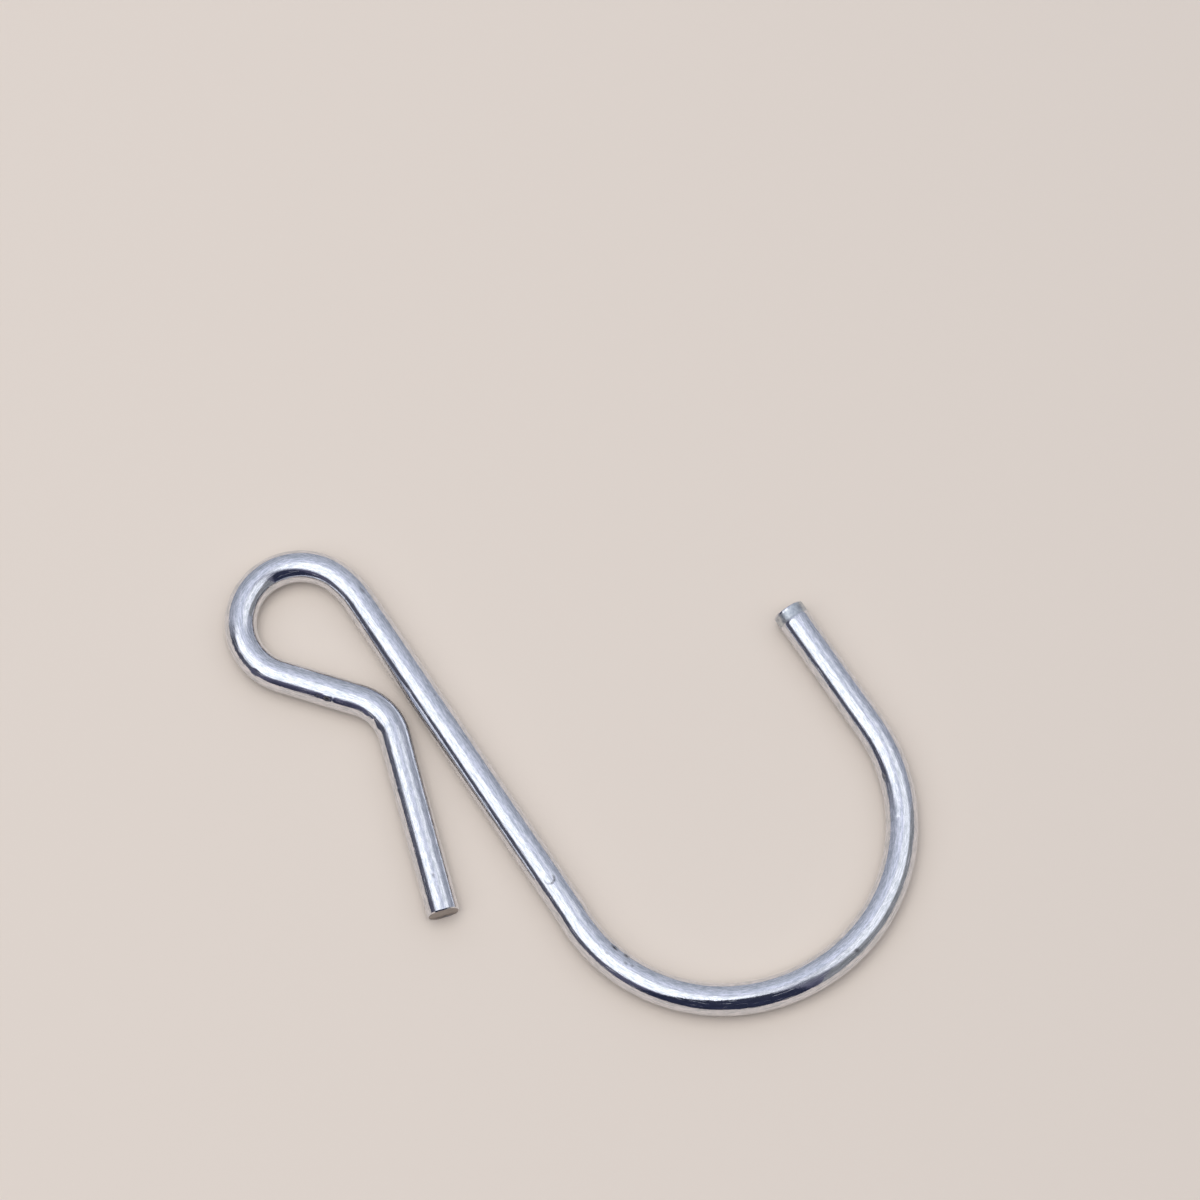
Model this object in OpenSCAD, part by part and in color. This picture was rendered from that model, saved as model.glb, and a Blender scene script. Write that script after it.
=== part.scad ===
// S hook of round wire: one length of nickel-plated steel wire, bent in one plane into
// a sprung eye, a long shank and a wide open hook.
//
// The hook lies flat on Z = 0. The shank runs along Y, with the eye at its +Y end and the
// open hook at its -Y end, which turns towards +X. X = 0 and Y = 0 are the middle of the
// outline.
//
// The shape is a wire former's bend table. Each row is a straight length and the bend that
// follows it, and every bend starts tangent to the straight before it.

/* [Wire] */
// Diameter of the wire
wire_d = 2.5; // [2:0.1:3]
// How much the wire's radius draws down where it is bent
thinning = 0.01; // [0.005:0.005:0.03]

/* [Eye] */
// Straight length of the sprung tail, from its cut end to the kink
tail_l = 14.4; // [9:0.1:18]
// Centreline radius of the kink that turns the tail away from the shank
kink_r = 4.3; // [3:0.1:6]
// Angle of the kink
kink_a = 57; // [45:1:65]
// Straight length between the kink and the eye
lead_l = 6.2; // [4:0.1:7]
// Centreline radius of the eye
eye_r = 4.55; // [4:0.05:6]
// Angle that the eye turns through
eye_a = 200.5; // [190:0.5:205]
// Centreline radius of the easier bend that runs the eye out into the shank
ease_r = 8; // [6:0.5:12]
// Angle of that easier bend
ease_a = 18.5; // [12:0.5:24]

/* [Shank] */
// Straight length of the shank
shank_l = 29.2; // [22:0.1:40]
// Centreline radius of the slight outward set at the foot of the shank
set_r = 7.5; // [5:0.5:15]
// Angle of that set
set_a = 4; // [1:1:8]

/* [Open hook] */
// Centreline radius of the hook's first bend, next to the shank
bow_r = 12.8; // [10:0.1:16]
// Angle of the first bend
bow_a = 66; // [45:1:80]
// Centreline radius of the hook's second bend, below and beside the tip
heel_r = 13.8; // [10:0.1:17]
// Straight length of the leg that carries the tip, parallel to the shank
leg_l = 11.05; // [7:0.05:16]

/* [Cut ends] */
// Size of the small round at the edge of the tip's square face
tip_round = 0.12; // [0.05:0.01:0.2]
// Size of the edge break at the tail's square cut
tail_break = 0.05; // [0.03:0.01:0.2]

/* [Hidden] */

wire_r = wire_d / 2;
bend_wire_r = wire_r - thinning;
// Length by which a straight reaches into the bends beside it. The thinner bends end
// inside it, so the pieces join without sharing a surface.
lap = 0.05;
// Sides of the round wire, and steps of a bend in a full turn
wire_fn = 48;
bend_fn = 144;

// The hook's second bend brings the leg back parallel to the shank.
heel_a = 180 + set_a - bow_a;
// The tail sets off at the heading that leaves the shank pointing along -Y.
shank_heading = -90;
tail_heading = shank_heading - kink_a + eye_a + ease_a;

// Bend table: straight length, centreline radius, turn. A turn to the left is positive.
BENDS = [
    [tail_l, kink_r, kink_a],
    [lead_l, eye_r, -eye_a],
    [0, ease_r, -ease_a],
    [shank_l, set_r, -set_a],
    [0, bow_r, bow_a],
    [0, heel_r, heel_a],
];
EYE = 1;
HEEL = 5;
LEG = len(BENDS);

function ahead(heading) = [cos(heading), sin(heading)];
function to_left(heading) = [-sin(heading), cos(heading)];

// Heading of the wire where row i starts
function heading(i) = i == 0 ? tail_heading : heading(i - 1) + BENDS[i - 1][2];
// From the wire's centreline to the centre of row i's bend, where the wire has this heading
function to_centre(i, heading) = sign(BENDS[i][2]) * BENDS[i][1] * to_left(heading);
// Where row i starts, and the centre of its bend
function row_start(i) = i == 0 ? [0, 0] : bend_centre(i - 1) - to_centre(i - 1, heading(i));
function bend_centre(i) =
    row_start(i) + BENDS[i][0] * ahead(heading(i)) + to_centre(i, heading(i));

// Outline of the whole hook, which is centred on X = 0 and Y = 0
left_edge = bend_centre(EYE).x - eye_r - bend_wire_r;
right_edge = row_start(LEG).x + wire_r;
top_edge = bend_centre(EYE).y + eye_r + bend_wire_r;
bottom_edge = bend_centre(HEEL).y - heel_r - bend_wire_r;
middle = [(left_edge + right_edge) / 2, (top_edge + bottom_edge) / 2];

// Lifts its children, drawn about a point of the bend table's plane, to the wire's height.
module at(point) {
    translate([point.x - middle.x, point.y - middle.y, wire_r])
        children();
}

// Places its children at the start of row i, with their +Z along the wire.
module along(i) {
    at(row_start(i))
        rotate([0, 90, heading(i)])
            children();
}

// The tail, from its square cut with a broken edge
module tail() {
    along(0)
        rotate_extrude($fn = wire_fn)
            polygon([
                [0, 0],
                [wire_r - tail_break, 0],
                [wire_r, tail_break],
                [wire_r, tail_l + lap],
                [0, tail_l + lap],
            ]);
}

// Row i's straight. A row of no length still joins the bends on its two sides.
module straight(i) {
    along(i)
        translate([0, 0, -lap])
            cylinder(h = BENDS[i][0] + 2 * lap, r = wire_r, $fn = wire_fn);
}

// Row i's bend, a piece of a torus
module bend(i) {
    turn = BENDS[i][2];
    // Direction from the bend's centre to its clockwise end
    clockwise_end = turn > 0 ? heading(i) - 90 : heading(i) + 90 + turn;
    at(bend_centre(i))
        rotate([0, 0, clockwise_end])
            rotate_extrude(angle = abs(turn), $fn = bend_fn)
                translate([BENDS[i][1], 0])
                    circle(r = bend_wire_r, $fn = wire_fn);
}

// The leg and its tip: a flat face with a small round at its edge
module leg() {
    round_cut = tip_round * (1 - cos(45));
    along(LEG)
        rotate_extrude($fn = wire_fn)
            polygon([
                [0, -lap],
                [wire_r, -lap],
                [wire_r, leg_l - tip_round],
                [wire_r - round_cut, leg_l - round_cut],
                [wire_r - tip_round, leg_l],
                [0, leg_l],
            ]);
}

module hook() {
    color("silver")
        union() {
            tail();
            for (i = [1:LEG - 1])
                straight(i);
            for (i = [0:LEG - 1])
                bend(i);
            leg();
        }
}

hook();
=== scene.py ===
import math
import random

import bmesh
import bpy
from mathutils import Euler, Matrix, Quaternion, Vector


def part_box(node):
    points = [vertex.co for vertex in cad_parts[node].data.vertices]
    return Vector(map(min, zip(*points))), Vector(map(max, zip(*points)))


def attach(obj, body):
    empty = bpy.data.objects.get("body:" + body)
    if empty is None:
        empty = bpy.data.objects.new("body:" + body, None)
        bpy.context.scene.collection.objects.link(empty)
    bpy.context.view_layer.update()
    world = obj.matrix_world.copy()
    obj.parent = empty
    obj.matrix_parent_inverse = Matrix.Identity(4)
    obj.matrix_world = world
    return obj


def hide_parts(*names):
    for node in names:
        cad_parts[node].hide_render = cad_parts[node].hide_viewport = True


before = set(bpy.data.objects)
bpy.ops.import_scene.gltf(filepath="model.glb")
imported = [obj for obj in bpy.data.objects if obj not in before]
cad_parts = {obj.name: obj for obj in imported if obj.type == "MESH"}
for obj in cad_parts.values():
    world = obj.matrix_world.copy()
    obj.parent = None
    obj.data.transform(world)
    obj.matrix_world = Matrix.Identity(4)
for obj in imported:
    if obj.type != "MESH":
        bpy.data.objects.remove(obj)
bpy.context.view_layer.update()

MM = 0.001
UP = Vector((0, 0, 1))

# ---------------------------------------------------------------- sizes, in millimetres
WIRE_D = 2.5
WIRE_R = WIRE_D / 2
# The wire draws down by this much in radius where it is bent.
THINNING = 0.01

# The wire former's bend table: straight length, centreline radius, turn in degrees. A turn
# to the left is positive, and every bend starts tangent to the straight before it.
BENDS = (
    (14.4, 4.3, 57.0),      # tail, kink
    (6.2, 4.55, -200.5),    # lead-in, eye
    (0.0, 8.0, -18.5),      # the eye eases out
    (29.2, 7.5, -4.0),      # shank, set
    (0.0, 12.8, 66.0),      # first bend of the open hook
    (0.0, 13.8, 118.0),     # second bend, below and beside the tip
)
# The tail sets off at this heading, which leaves the shank pointing along -Y.
TAIL_HEADING = 72.0
LEG_L = 11.05
TIP_ROUND = 0.08
TAIL_BREAK = 0.08
# The shear's jaws left the tip dull over this length, and this much thinner in radius.
JAW_L = 0.95
JAW_MARK = 0.006
# The shear left a burr beside the tip: its height, and its middle and its spread in degrees
# round the wire from its top to its left
BURR = 0.05
BURR_AT = 62
BURR_SPREAD = 30
# It left a ripple round the tail's cut, of this height and of these numbers of waves.
RIPPLE = 0.03
RIPPLE_WAVES = (3, 5, 9)
# A face this near to the tip's round still counts as the jaws' grip.
LEEWAY = 0.01
# The torn half of a cut face lies up to this much deeper. The face's grain is this rough, and
# the smooth half has this share of it.
TEAR = 0.05
GRAIN = 0.012
SMOOTH_SHARE = 0.3

# Facets round the wire, and the distance between its rings, which is less beside a mark
AROUND = 96
RING_GAP = 0.2
FINE_GAP = 0.07
# What is left of a stretch, below this many gaps, is made in one.
LAST_GAP = 1.5
# Rings over which the wire draws down into a bend, and rings of the tip's round
EASE_RINGS = 6
ROUND_RINGS = 5
# Edges between faces that meet at less than this angle, in degrees, look smooth.
SMOOTH_BELOW = 30
# The die leaves fine lines along the wire, this deep.
DIE_LINE = 0.001
# The surface waves gently, by this much and over this length.
WAVE = 0.007
WAVE_L = 1.6
# Depths of the surface's finest relief: lines, orange peel, and the mottle of dull metal
LINES_DEEP = 0.0035
PEEL_DEEP = 0.0035
MOTTLE_DEEP = 0.01

# What each point keeps: its place on the straight wire, and how much painted shade it takes in a
# scratch
PLACE = "straight_wire"
SCRATCH_SHADE = "scratch_shade"
# Material slots of the jaws' grip and of the cut faces. The rest has slot 0, bright nickel.
DULL, BARE = 1, 2
# Marks of the bending tools and of handling. Each row is a place, in mm along the wire and
# degrees round it from its top to its left, then half its length, half its width and its
# depth, and the turn of its length off the wire. A burr has a depth less than nothing.
BURRS = (
    # The bending pin's bulges on the inside of the kink
    (15.55, 74, 0.70, 0.75, -0.050, 0), (17.35, 74, 0.60, 0.60, -0.026, 0),
    # The burrs at the end and along the side of the nick
    (20.34, 48, 0.10, 0.42, -0.036, 12), (20.85, 36, 0.45, 0.13, -0.020, 6),
    (10.04, 46, 0.18, 0.24, -0.028, 60), (98.10, 30, 0.40, 0.18, -0.012, 0),
    # The lip that the shear raised at the tip's edge
    (127.19, 22, 0.13, 0.75, -0.045, 0),
)
DENTS = (
    # The bending pin's crease on the inside of the kink, and its dent where the eye starts
    (16.42, 56, 0.16, 0.55, 0.034, 0), (26.47, 46, 0.42, 0.34, 0.038, 20),
    # Stretch marks on the outside of the eye
    (27.3, 50, 0.10, 0.32, 0.007, 25), (27.8, 46, 0.12, 0.34, 0.009, 25),
    (28.4, 43, 0.10, 0.34, 0.008, 25), (28.9, 40, 0.12, 0.36, 0.008, 25),
    # Dents of handling
    (49.2, -12, 0.24, 0.12, 0.008, 0), (54.0, 2, 0.14, 0.34, 0.008, 30),
    (62.1, 2, 0.16, 0.14, 0.009, 0), (86.07, -10, 0.30, 0.22, 0.007, 0),
    (108.2, 20, 0.34, 0.18, 0.014, 0), (123.9, 13, 0.20, 0.12, 0.005, 0),
    # The shear's dent beside the tip
    (126.9, 70, 0.30, 0.50, 0.030, 0),
)
# These are painted dark, as shade in their hollows, and more so where they are deeper.
SCRATCHES = (
    # A nick on the lead-in
    (20.85, 46, 0.36, 0.22, 0.034, -4), (21.60, 44, 0.24, 0.12, 0.018, 0),
    # A scratch across the eye
    (29.70, 22, 0.50, 0.12, 0.008, 28),
    # A curved scratch across the foot of the shank
    (70.15, 11, 0.22, 0.12, 0.020, -14), (70.36, 5, 0.22, 0.12, 0.024, -48),
    (70.45, -6, 0.24, 0.12, 0.018, 90), (70.36, -18, 0.22, 0.12, 0.012, 48),
    (70.15, -24, 0.22, 0.12, 0.010, 14),
    # Pits on the inside of the first bend
    (77.36, 33, 0.42, 0.15, 0.028, -6), (78.50, 38, 0.30, 0.15, 0.024, 0),
    (78.81, 11, 0.24, 0.14, 0.014, 0), (79.34, 16, 0.20, 0.14, 0.016, 0),
    (77.21, -2, 0.22, 0.12, 0.010, 0),
    # Specks
    (2.80, 1, 0.20, 0.12, 0.016, 0), (43.1, 24, 0.40, 0.15, 0.016, 0),
    (53.2, 27, 0.20, 0.12, 0.010, 0), (97.25, -33, 0.28, 0.17, 0.022, -35),
    (111.8, 48, 0.44, 0.17, 0.020, 0),
)
MARKS = BURRS + DENTS + SCRATCHES
# A scratch of this depth takes the full painted shade.
FULL = 0.03
# A face is well inside a mark if it is within this share of its size.
WELL_INSIDE = 0.7


# ---------------------------------------------------------------- small helpers
def linear(code):
    """An sRGB hex colour as the linear RGBA that a shader takes."""
    parts = [int(code[i:i + 2], 16) / 255 for i in (1, 3, 5)]
    return [c / 12.92 if c <= 0.04045 else ((c + 0.055) / 1.055) ** 2.4 for c in parts] + [1]


def add_node(tree, kind, settings=(), inputs=(), links=(), tones=()):
    """Adds a node, sets it and its sockets, links what feeds it, and sets a ramp's tones."""
    node = tree.nodes.new(kind)
    for name, value in dict(settings).items():
        setattr(node, name, value)
    for name, value in dict(inputs).items():
        node.inputs[name].default_value = value
    for name, source in dict(links).items():
        tree.links.new(source, node.inputs[name])
    if tones:
        stops = node.color_ramp.elements
        while len(stops) < len(tones):
            stops.new(0.5)
        for stop, (at, colour) in zip(stops, tones):
            stop.position = at
            stop.color = linear(colour)
    return node


def add_material(name):
    """A new material and its empty node tree"""
    material = bpy.data.materials.new(name)
    material.use_nodes = True
    material.node_tree.nodes.clear()
    return material, material.node_tree


def direction(heading):
    """Unit vector in the plane of the hook at this heading in degrees."""
    return Vector((math.cos(math.radians(heading)), math.sin(math.radians(heading)), 0))


def out_of_mark(mark, travel, around):
    """How far a place on the wire is from a mark's middle: 1 is at the mark's edge."""
    along, middle, half_length, half_width, depth, turn = mark
    a = travel - along
    b = (around - math.radians(middle)) * WIRE_R
    c, s = math.cos(math.radians(turn)), math.sin(math.radians(turn))
    return math.hypot((a * c + b * s) / half_length, (b * c - a * s) / half_width)


def is_in(marks, travel, around):
    """Whether this place on the wire is well inside one of these marks"""
    return any(abs(travel - mark[0]) < max(mark[2:4])
               and out_of_mark(mark, travel, around) < WELL_INSIDE
               for mark in marks)


def ring_gaps(start, length):
    """Gaps between the rings of a stretch of wire."""
    here = 0.0
    while here < length - FINE_GAP / 2:
        by_mark = any(abs(start + here - mark[0]) < max(mark[2:4]) for mark in MARKS)
        gap = FINE_GAP if by_mark else RING_GAP
        if length - here < LAST_GAP * gap:
            gap = length - here
        here += gap
        yield gap


# ---------------------------------------------------------------- the wire
class Wire:
    """Wire that is fed and bent from its tail's cut end. Every point also keeps its place on
    the straight wire as it came off the coil: distance along, to the left, and up."""

    def __init__(self, heading):
        bpy.ops.object.select_all(action="DESELECT")
        bpy.ops.mesh.primitive_circle_add(
            vertices=AROUND, radius=(WIRE_R - TAIL_BREAK) * MM, fill_type="NOTHING",
            location=(0, 0, WIRE_R * MM), rotation=(0, math.pi / 2, math.radians(heading)))
        self.piece = bpy.context.object
        self.piece.name = "nickel_plated_wire"
        bpy.ops.object.transform_apply(location=True, rotation=True, scale=True)
        self.heading = heading
        self.centre = Vector((0, 0, WIRE_R * MM))
        self.travel = 0.0
        self.radius = WIRE_R - TAIL_BREAK
        self.rings = []
        bpy.ops.object.mode_set(mode="EDIT")
        bpy.ops.mesh.select_all(action="SELECT")
        mesh = bmesh.from_edit_mesh(self.piece.data)
        mesh.verts.layers.float_vector.new(PLACE)
        mesh.verts.layers.float.new(SCRATCH_SHADE)
        self.draw_through_die(mesh)
        self.note_ring()

    def draw_through_die(self, mesh):
        """The die's wear sets the wire's section, and so draws lines along all of it."""
        wear = random.Random(11)
        for v in mesh.verts:
            offset = v.co - self.centre
            v.co = self.centre + offset * (1 + wear.uniform(-1, 1) * DIE_LINE / WIRE_R)

    def note(self, verts, layer):
        left = direction(self.heading + 90)
        for v in verts:
            offset = v.co - self.centre
            v[layer] = Vector((self.travel * MM, offset.dot(left), offset.z))

    def note_ring(self):
        mesh = bmesh.from_edit_mesh(self.piece.data)
        mesh.verts.ensure_lookup_table()
        self.note(mesh.verts[-AROUND:], mesh.verts.layers.float_vector[PLACE])
        self.rings.append(self.travel)

    def scale_ring(self, radius):
        k = radius / self.radius
        bpy.ops.transform.resize(value=(k, k, k), center_override=self.centre)
        self.radius = radius

    def ease_to(self, radius):
        """The wire draws down over the first few rings of a bend, and comes back after it."""
        most = THINNING / EASE_RINGS
        change = max(-most, min(most, radius - self.radius))
        if abs(change) > 1e-9:
            self.scale_ring(self.radius + change)

    def step(self, length, radius=None):
        move = direction(self.heading) * length * MM
        bpy.ops.mesh.extrude_region_move(TRANSFORM_OT_translate={"value": move})
        self.centre += move
        self.travel += length
        if radius is None:
            self.ease_to(WIRE_R)
        else:
            self.scale_ring(radius)
        self.note_ring()

    def feed(self, length, radius=None):
        for gap in ring_gaps(self.travel, length):
            self.step(gap, radius)

    def bend(self, radius, turn):
        middle = self.centre + direction(self.heading + math.copysign(90, turn)) * radius * MM
        arc = radius * math.radians(abs(turn))
        for gap in ring_gaps(self.travel, arc):
            part = turn * gap / arc
            # The spin operator turns clockwise for a positive angle.
            bpy.ops.mesh.spin(steps=1, angle=-math.radians(part), center=middle, axis=UP)
            self.heading += part
            self.centre = middle - direction(
                self.heading + math.copysign(90, turn)) * radius * MM
            self.travel += gap
            self.ease_to(WIRE_R - THINNING)
            self.note_ring()

    def close_end(self, ring):
        """Fills the cut end with a grid of faces, and notes where its new points are."""
        mesh = bmesh.from_edit_mesh(self.piece.data)
        mesh.verts.ensure_lookup_table()
        before = len(mesh.verts)
        bpy.ops.mesh.select_all(action="DESELECT")
        rim = set(mesh.verts[ring * AROUND:(ring + 1) * AROUND])
        for edge in mesh.edges:
            edge.select = edge.is_boundary and edge.verts[0] in rim
        mesh.select_flush(True)
        bpy.ops.mesh.fill_grid(span=AROUND // 4)
        mesh = bmesh.from_edit_mesh(self.piece.data)
        mesh.verts.ensure_lookup_table()
        return mesh.verts[before:]


def form_hook():
    wire = Wire(TAIL_HEADING)
    wire.step(TAIL_BREAK, WIRE_R)
    wire.feed(BENDS[0][0] - TAIL_BREAK)
    for row, (straight, radius, turn) in enumerate(BENDS):
        if row:
            wire.feed(straight)
        wire.bend(radius, turn)
    wire.feed(LEG_L - JAW_L)
    return wire


def shear_tip(wire):
    """The tip, from the step where the shear's jaws gripped it to a small round at its face"""
    gripped = WIRE_R - JAW_MARK
    wire.step(2 * JAW_MARK, gripped)
    wire.feed(JAW_L - 2 * JAW_MARK - TIP_ROUND, gripped)
    before = 0.0
    for i in range(1, ROUND_RINGS + 1):
        a = math.pi / 2 * i / ROUND_RINGS
        wire.step(TIP_ROUND * (math.sin(a) - before), gripped - TIP_ROUND * (1 - math.cos(a)))
        before = math.sin(a)


def roughen_cut(wire, points, ahead, seed):
    """A sheared face: one half is cut smooth, and the other is torn off a little deeper."""
    tear = random.Random(seed)
    low = min(v.co.z for v in points)
    high = max(v.co.z for v in points)
    for v in points:
        torn = max(0.0, 1 - 2 * (v.co.z - low) / (high - low))
        grain = tear.uniform(0, GRAIN) * (SMOOTH_SHARE + torn)
        v.co -= ahead * MM * (TEAR * torn + grain)


def shear_ends(wire):
    """Closes both cut ends, and leaves them as the shear does."""
    mesh = bmesh.from_edit_mesh(wire.piece.data)
    last = len(wire.rings) - 1
    layer = mesh.verts.layers.float_vector[PLACE]
    ripple = random.Random(5)
    phases = [ripple.uniform(0, 2 * math.pi) for _ in RIPPLE_WAVES]
    mesh.verts.ensure_lookup_table()
    for v in mesh.verts[:2 * AROUND]:
        around = math.atan2(v[layer].y, v[layer].z)
        wave = sum(math.sin(k * around + phase) / len(RIPPLE_WAVES)
                   for k, phase in zip(RIPPLE_WAVES, phases))
        v.co += direction(TAIL_HEADING) * RIPPLE * wave * MM
    for v in mesh.verts[(last + 1 - ROUND_RINGS) * AROUND:(last + 1) * AROUND]:
        around = math.degrees(math.atan2(v[layer].y, v[layer].z))
        v.co += direction(90) * BURR * math.exp(-((around - BURR_AT) / BURR_SPREAD) ** 2) * MM
    for ring, ahead, seed in ((0, -direction(TAIL_HEADING), 3), (last, direction(90), 8)):
        points = wire.close_end(ring)
        roughen_cut(wire, points, ahead, seed)
        layer = bmesh.from_edit_mesh(wire.piece.data).verts.layers.float_vector[PLACE]
        for v in points:
            v[layer] = Vector((wire.rings[ring] * MM, 0, v.co.z))


def press_marks(wire):
    """Presses the marks into the wire, and paints shade into the scratches."""
    mesh = bmesh.from_edit_mesh(wire.piece.data)
    mesh.normal_update()
    mesh.verts.ensure_lookup_table()
    layer = mesh.verts.layers.float_vector[PLACE]
    scratch_shade = mesh.verts.layers.float[SCRATCH_SHADE]
    for mark in MARKS:
        for ring, travel in enumerate(wire.rings):
            if abs(travel - mark[0]) > max(mark[2:4]):
                continue
            for v in mesh.verts[ring * AROUND:(ring + 1) * AROUND]:
                out = out_of_mark(mark, travel, math.atan2(v[layer].y, v[layer].z))
                if out < 1:
                    v.co -= v.normal * mark[4] * (1 - out ** 2) ** 2 * MM
                    # Scratches are painted dark as shade, more so where they are deeper.
                    if mark in SCRATCHES:
                        v[scratch_shade] = max(v[scratch_shade], min(1, mark[4] / FULL) * (1 - out ** 2))


def finish_faces(wire):
    """Sets each face's finish. The jaws' grip is dull, apart from burrs that stand proud."""
    mesh = bmesh.from_edit_mesh(wire.piece.data)
    layer = mesh.verts.layers.float_vector[PLACE]
    end = wire.travel
    for face in mesh.faces:
        places = [v[layer] for v in face.verts]
        near = min(p.x for p in places) / MM
        far = max(p.x for p in places) / MM
        travel = (near + far) / 2
        around = math.atan2(sum(p.y for p in places), sum(p.z for p in places))
        if near == far:
            face.material_index = BARE
        elif end - JAW_L + JAW_MARK < near and far < end - TIP_ROUND + LEEWAY:
            if not is_in(BURRS, travel, around):
                face.material_index = DULL


def make_wire():
    wire = form_hook()
    shear_tip(wire)
    shear_ends(wire)
    bpy.ops.mesh.select_all(action="SELECT")
    bpy.ops.mesh.normals_make_consistent(inside=False)
    press_marks(wire)
    finish_faces(wire)
    bpy.ops.object.mode_set(mode="OBJECT")
    piece = wire.piece
    wave = bpy.data.textures.new("wave", "CLOUDS")
    wave.noise_scale = WAVE_L * MM
    ripple = piece.modifiers.new("wave", "DISPLACE")
    ripple.texture = wave
    ripple.strength = WAVE * MM
    bpy.ops.object.modifier_apply(modifier="wave")
    low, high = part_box("hook")
    own = [piece.matrix_world @ Vector(c) for c in piece.bound_box]
    own_low = Vector(map(min, *own))
    own_high = Vector(map(max, *own))
    move = (low + high) / 2 - (own_low + own_high) / 2
    bpy.ops.transform.translate(value=move)
    bpy.ops.object.transform_apply(location=True, rotation=True, scale=True)
    bpy.ops.object.shade_smooth_by_angle(angle=math.radians(SMOOTH_BELOW))
    return piece


# ---------------------------------------------------------------- finishes
def pattern_along_wire(tree, length, width, detail, roughness=0.6):
    """A random pattern that runs along the wire, of this length and width in mm"""
    place = add_node(tree, "ShaderNodeAttribute", {"attribute_name": PLACE})
    stretched = add_node(tree, "ShaderNodeMapping", inputs={
        "Scale": (1 / (length * MM), 1 / (width * MM), 1 / (width * MM))},
        links={"Vector": place.outputs["Vector"]})
    return add_node(tree, "ShaderNodeTexNoise", inputs={
        "Scale": 1.0, "Detail": detail, "Roughness": roughness},
        links={"Vector": stretched.outputs[0]}).outputs[0]


def bright_nickel():
    """Bright nickel over drawn wire: a mirror with a cool cast, which fine lines from the die
    and the plating's slight orange peel keep from being perfect."""
    material, tree = add_material("bright_nickel_plate")
    shader = add_node(tree, "ShaderNodeBsdfPrincipled", inputs={"Metallic": 1.0})
    add_node(tree, "ShaderNodeOutputMaterial", links={"Surface": shader.outputs[0]})
    # Streaks where the plating is a little thicker or thinner
    streaks = pattern_along_wire(tree, length=0.7, width=0.12, detail=4.0, roughness=0.75)
    tint = add_node(tree, "ShaderNodeValToRGB", links={"Fac": streaks},
                    tones=((0.38, "#C3C7CB"), (0.62, "#F2F1F6")))
    # Painted shade in the scratches: dark, and rougher, with hardly a shine
    scratch_shade = add_node(tree, "ShaderNodeAttribute", {"attribute_name": SCRATCH_SHADE}).outputs["Fac"]
    shaded_scratches = add_node(tree, "ShaderNodeMix", {"data_type": "RGBA"}, {
        "B": linear("#2A282E")}, {"Factor": scratch_shade, "A": tint.outputs[0]})
    tree.links.new(shaded_scratches.outputs["Result"], shader.inputs["Base Color"])
    # Haze from handling in patches, and scuffs along the wire. Scuffs are finer than this on
    # real wire, and are drawn as wide as shows.
    patches = pattern_along_wire(tree, length=3.0, width=1.0, detail=3.0)
    haze = add_node(tree, "ShaderNodeMapRange", inputs={
        "From Min": 0.35, "From Max": 0.7, "To Min": 0.06, "To Max": 0.12},
        links={"Value": patches})
    scuffs = pattern_along_wire(tree, length=1.8, width=0.11, detail=2.0)
    scuffed = add_node(tree, "ShaderNodeMapRange", inputs={
        "From Min": 0.57, "From Max": 0.70, "To Min": 0.06, "To Max": 0.45},
        links={"Value": scuffs})
    rough = add_node(tree, "ShaderNodeMath", {"operation": "MAXIMUM"}, links={
        0: haze.outputs[0], 1: scuffed.outputs[0]})
    rougher = add_node(tree, "ShaderNodeMath", {"operation": "MULTIPLY_ADD"}, {1: 0.5}, {
        0: scratch_shade, 2: rough.outputs[0]})
    tree.links.new(rougher.outputs[0], shader.inputs["Roughness"])
    # Die lines are finer than this on real wire. They are drawn as wide as shows.
    lines = pattern_along_wire(tree, length=3.0, width=0.22, detail=3.0)
    drawn = add_node(tree, "ShaderNodeBump", inputs={
        "Strength": 1.0, "Distance": LINES_DEEP * MM}, links={"Height": lines})
    peel = pattern_along_wire(tree, length=0.22, width=0.16, detail=2.0)
    peeled = add_node(tree, "ShaderNodeBump", inputs={
        "Strength": 1.0, "Distance": PEEL_DEEP * MM}, links={
        "Height": peel, "Normal": drawn.outputs[0]})
    tree.links.new(peeled.outputs[0], shader.inputs["Normal"])
    return material


def dull_finish(name, dark, pale, roughness):
    """Metal with a dull, mottled surface"""
    material, tree = add_material(name)
    shader = add_node(tree, "ShaderNodeBsdfPrincipled", inputs={
        "Metallic": 1.0, "Roughness": roughness})
    add_node(tree, "ShaderNodeOutputMaterial", links={"Surface": shader.outputs[0]})
    mottle = pattern_along_wire(tree, length=0.3, width=0.3, detail=4.0)
    tint = add_node(tree, "ShaderNodeValToRGB", links={"Fac": mottle},
                    tones=((0.3, dark), (0.7, pale)))
    tree.links.new(tint.outputs[0], shader.inputs["Base Color"])
    scuffs = add_node(tree, "ShaderNodeBump", inputs={
        "Strength": 1.0, "Distance": MOTTLE_DEEP * MM}, links={"Height": mottle})
    tree.links.new(scuffs.outputs[0], shader.inputs["Normal"])
    return material


# ---------------------------------------------------------------- studio
# The hook is seen with its shank from the upper left to the lower right.
CAMERA_TURN = -33.384
CAMERA_TILT = 16.5
CAMERA_AWAY = 346.3
AIM = Vector((-3.446, -2.107, WIRE_R)) * MM
# Angles by which the camera looks above and beside the hook
LOOK_ABOVE = 2.305
LOOK_BESIDE = 0.376
# Focal length and sensor's width in mm, and the nearest that the camera sees in metres
LENS = 137.1
SENSOR = 36
NEAREST = 0.02

# Side of the floor, and width and height of the fill light, in metres
FLOOR = 6
FILL_WIDTH = 0.9
FILL_UP = 0.9
# Power of the fill light in watts, and its colour, a little warm
FILL = 4.0
FILL_COLOUR = (1.0, 0.97, 0.92)
# Sides of a softbox's outline
SOFTBOX_SIDES = 48
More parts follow.
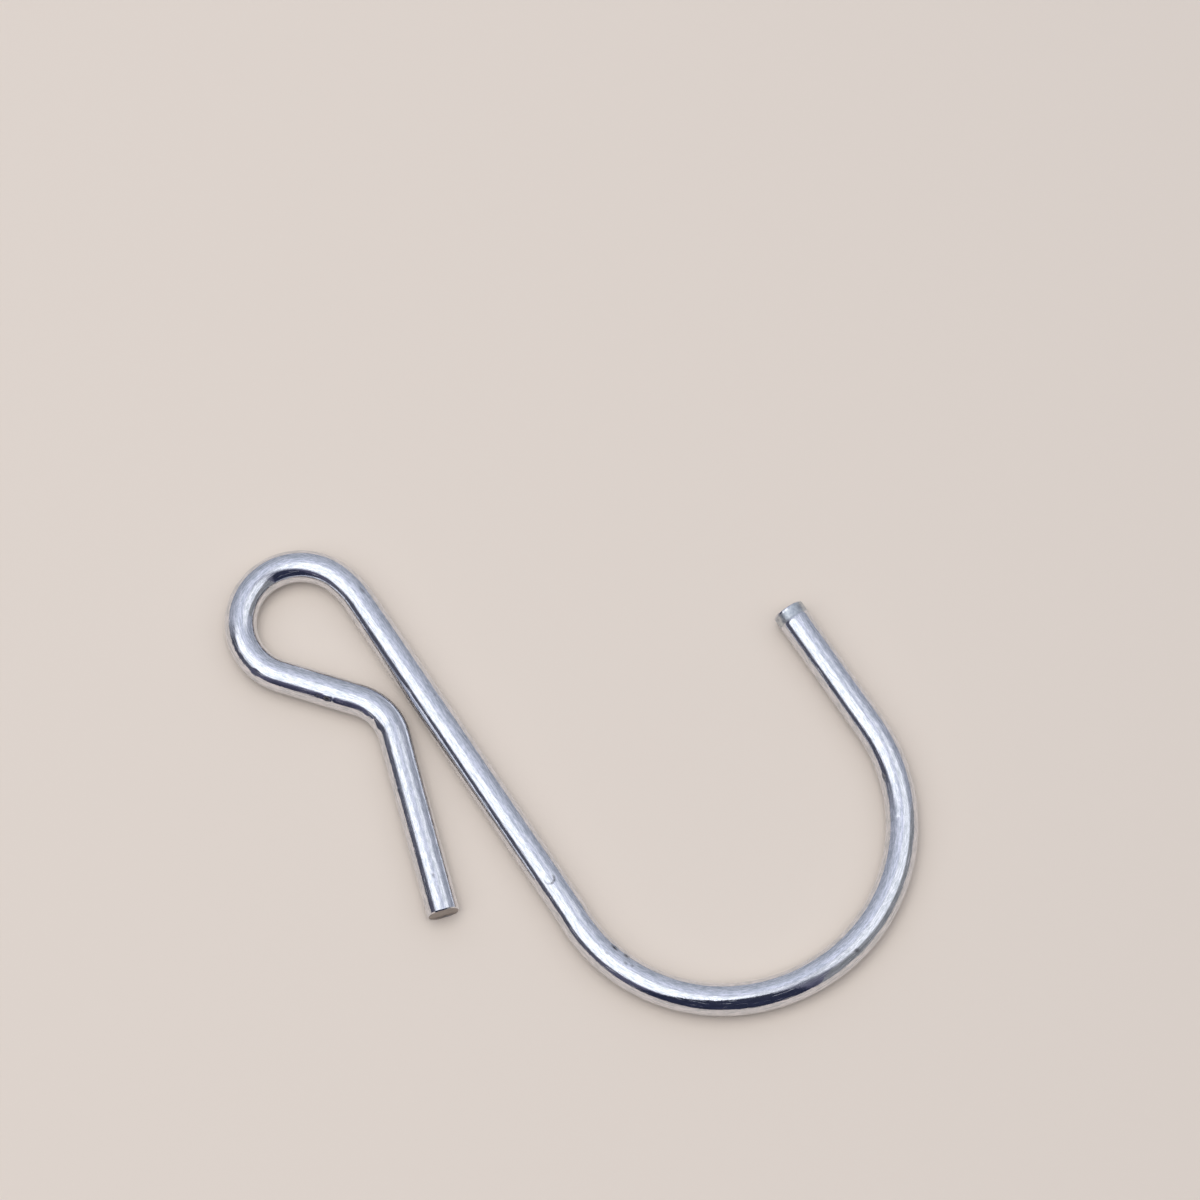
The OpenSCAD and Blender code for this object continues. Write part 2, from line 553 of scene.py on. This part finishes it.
# Each softbox: name, angles in degrees to the right of straight up and away from the camera,
# angle that half of its width fills, stretch, turn, core's share, distance in metres, radiance
SOFTBOXES = (
    ("softbox_left", -23, -13, 33.3, 1.26, 11, 0.6, 1.5, 1.5),
    ("softbox_right", 34, 4, 31, 0.85, 45, 0.6, 0.35, 1.15),
)
# Each card: name, colour, distance in metres, heading and tilt of each corner
CARDS = (
    ("dark_card", "#2F3348", 0.165, ((238, 91), (306, 89), (249, 56), (307, 20))),
    ("grey_card", "#909296", 0.5, ((309, 90), (381, 92), (319, 44), (374, 50))),
)
# Colour of the room's walls, from behind the camera to straight away from it
WALLS = (
    (0.02, "#313246"),
    (0.15, "#5C5C71"),
    (0.26, "#5E5F6C"),
    (0.38, "#535461"),
    (0.50, "#525360"),
    (0.65, "#A4A8B5"),
    (0.80, "#A5AAB7"),
    (0.97, "#B1B6C2"),
)
# How much brighter the room is straight up, and how fast that fades towards the walls
CEILING = 1.38
CEILING_FADE = 3.0


def make_floor():
    bpy.ops.object.select_all(action="DESELECT")
    bpy.ops.mesh.primitive_plane_add(size=FLOOR)
    floor = bpy.context.object
    floor.name = "floor"
    material = bpy.data.materials.new("pale_floor")
    material.use_nodes = True
    shader = material.node_tree.nodes["Principled BSDF"]
    shader.inputs["Base Color"].default_value = linear("#DCD0C3")
    shader.inputs["Roughness"].default_value = 0.8
    floor.data.materials.append(material)


def studio_direction(heading, tilt):
    """Direction from the hook, where heading is 0 to the right and 90 away from the camera
    and tilt is the angle off straight up."""
    azimuth = math.radians(heading + CAMERA_TURN)
    return Vector((math.cos(azimuth) * math.sin(math.radians(tilt)),
                   math.sin(azimuth) * math.sin(math.radians(tilt)),
                   math.cos(math.radians(tilt))))


def make_camera():
    data = bpy.data.cameras.new("camera")
    camera = bpy.data.objects.new("camera", data)
    bpy.context.scene.collection.objects.link(camera)
    eye = AIM + studio_direction(-90, CAMERA_TILT) * CAMERA_AWAY * MM
    camera.location = eye
    look = (AIM - eye).to_track_quat("-Z", "Y")
    camera.rotation_mode = "QUATERNION"
    camera.rotation_quaternion = look @ Euler(
        (math.radians(LOOK_ABOVE), -math.radians(LOOK_BESIDE), 0)).to_quaternion()
    data.sensor_width = SENSOR
    data.lens = LENS
    data.clip_start = NEAREST
    bpy.context.scene.camera = camera


def add_softbox(name, right, away, half_width, stretch, turn, core, distance, radiance):
    """An oval softbox that faces the hook, brightest in its core. Its place is given as
    angles off straight up, and its size as the angle that half of its width fills."""
    bpy.ops.object.select_all(action="DESELECT")
    radius = distance * math.tan(math.radians(half_width))
    bpy.ops.mesh.primitive_circle_add(vertices=SOFTBOX_SIDES, radius=radius, fill_type="NGON")
    box = bpy.context.object
    box.name = name
    facing = studio_direction(math.degrees(math.atan2(away, right)), math.hypot(right, away))
    across = studio_direction(0, 90)
    across = (across - across.dot(facing) * facing).normalized()
    upright = Matrix((across, facing.cross(across), facing)).transposed().to_quaternion()
    box.location = facing * distance
    box.rotation_mode = "QUATERNION"
    box.rotation_quaternion = upright @ Quaternion((0, 0, 1), math.radians(turn))
    box.scale.x = stretch
    material, tree = add_material(name)
    place = add_node(tree, "ShaderNodeTexCoord")
    out = add_node(tree, "ShaderNodeVectorMath", {"operation": "LENGTH"},
                   links={0: place.outputs["Object"]})
    fade = add_node(tree, "ShaderNodeMapRange", {"interpolation_type": "SMOOTHSTEP"}, {
        "From Min": radius, "From Max": radius * core}, {"Value": out.outputs["Value"]})
    glow = add_node(tree, "ShaderNodeEmission", inputs={
        "Color": linear("#F3F7FF"), "Strength": radiance})
    clear = add_node(tree, "ShaderNodeBsdfTransparent")
    cloth = add_node(tree, "ShaderNodeMixShader", links={
        0: fade.outputs[0], 1: clear.outputs[0], 2: glow.outputs[0]})
    add_node(tree, "ShaderNodeOutputMaterial", links={"Surface": cloth.outputs[0]})
    box.data.materials.append(material)
    box.visible_camera = False


def add_card(name, colour, away, corners):
    """A plain card beside the hook. Only reflections see it."""
    bpy.ops.object.select_all(action="DESELECT")
    bpy.ops.mesh.primitive_plane_add(size=1)
    card = bpy.context.object
    card.name = name
    for v, (heading, tilt) in zip(card.data.vertices, corners):
        v.co = studio_direction(heading, tilt) * away
    material, tree = add_material(name)
    glow = add_node(tree, "ShaderNodeEmission", inputs={"Color": linear(colour), "Strength": 1.0})
    add_node(tree, "ShaderNodeOutputMaterial", links={"Surface": glow.outputs[0]})
    card.data.materials.append(material)
    card.visible_camera = False
    card.visible_shadow = False
    card.visible_diffuse = False


def add_fill():
    """A large soft light overhead, which lights the floor and which reflections don't see"""
    data = bpy.data.lights.new("fill", "AREA")
    data.shape = "DISK"
    data.size = FILL_WIDTH
    data.energy = FILL
    data.color = FILL_COLOUR
    fill = bpy.data.objects.new("fill", data)
    bpy.context.scene.collection.objects.link(fill)
    fill.location = (0, 0, FILL_UP)
    fill.visible_glossy = False


def make_room():
    """The room round the softboxes: dark behind the camera, and paler away from it and up"""
    world = bpy.data.worlds.new("room")
    bpy.context.scene.world = world
    world.use_nodes = True
    tree = world.node_tree
    tree.nodes.clear()
    where = add_node(tree, "ShaderNodeTexCoord")
    away = add_node(tree, "ShaderNodeVectorMath", {"operation": "DOT_PRODUCT"},
                    {1: studio_direction(90, 90)}, {0: where.outputs["Generated"]})
    share = add_node(tree, "ShaderNodeMapRange", inputs={"From Min": -1.0, "From Max": 1.0},
                     links={"Value": away.outputs["Value"]})
    walls = add_node(tree, "ShaderNodeValToRGB", links={"Fac": share.outputs[0]}, tones=WALLS)
    up = add_node(tree, "ShaderNodeSeparateXYZ", links={"Vector": where.outputs["Generated"]})
    clear = add_node(tree, "ShaderNodeMath", {"operation": "MAXIMUM"}, {1: 0.0},
                     {0: up.outputs["Z"]})
    overhead = add_node(tree, "ShaderNodeMath", {"operation": "POWER"}, {1: CEILING_FADE},
                    {0: clear.outputs[0]})
    ceiling = add_node(tree, "ShaderNodeMath", {"operation": "MULTIPLY_ADD"},
                       {1: CEILING, 2: 1.0}, {0: overhead.outputs[0]})
    light = add_node(tree, "ShaderNodeBackground",
                     links={"Color": walls.outputs["Color"], "Strength": ceiling.outputs[0]})
    add_node(tree, "ShaderNodeOutputWorld", links={"Surface": light.outputs[0]})


def make_studio():
    for softbox in SOFTBOXES:
        add_softbox(*softbox)
    for name, colour, away, corners in CARDS:
        add_card(name, colour, away, corners)
    add_fill()
    make_room()


def main():
    hook = make_wire()
    for finish in (
            bright_nickel(),
            # Nickel that the jaws scuffed: grey, with the room only dimly in it
            dull_finish("scuffed_nickel_plate", "#A6ACB4", "#D6DADB", 0.36),
            # The wire was cut after plating, so its faces are steel: darker and warmer
            dull_finish("bare_sheared_steel", "#968E89", "#B8B1AC", 0.5)):
        hook.data.materials.append(finish)
    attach(hook, "root")
    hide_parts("hook")
    make_floor()
    make_camera()
    make_studio()
    bpy.context.scene.view_settings.view_transform = "Standard"


main()
